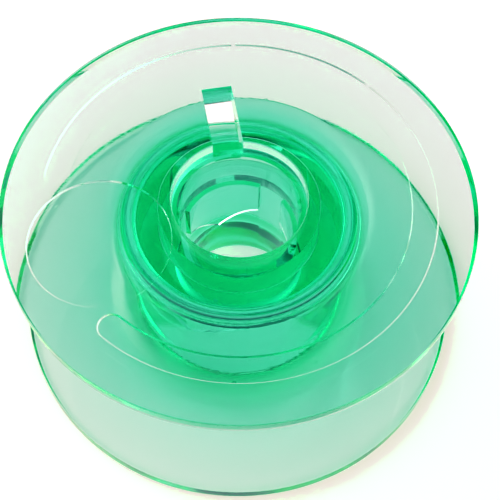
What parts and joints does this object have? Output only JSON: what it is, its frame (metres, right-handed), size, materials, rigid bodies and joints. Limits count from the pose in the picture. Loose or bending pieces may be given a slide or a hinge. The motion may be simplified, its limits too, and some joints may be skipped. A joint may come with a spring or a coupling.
{
  "type": "sewing machine bobbin",
  "caption": "Clear green moulded bobbin: slotted upper flange with a socketed collar, telescoped on a plain flange with barrel and bored tube.",
  "frame": {"origin": "bottom of the plain flange, on the bore's axis", "axes": "+Z along the bore, from the plain flange to the slotted one; +Y along the thread slot"},
  "size_m": [0.023, 0.023, 0.0102],
  "materials": {
    "clear_green_plastic": "polished moulding"
  },
  "bodies": {
    "root": {"slotted_flange_half": "clear_green_plastic", "plain_flange_half": "clear_green_plastic"}
  },
  "joints": []
}
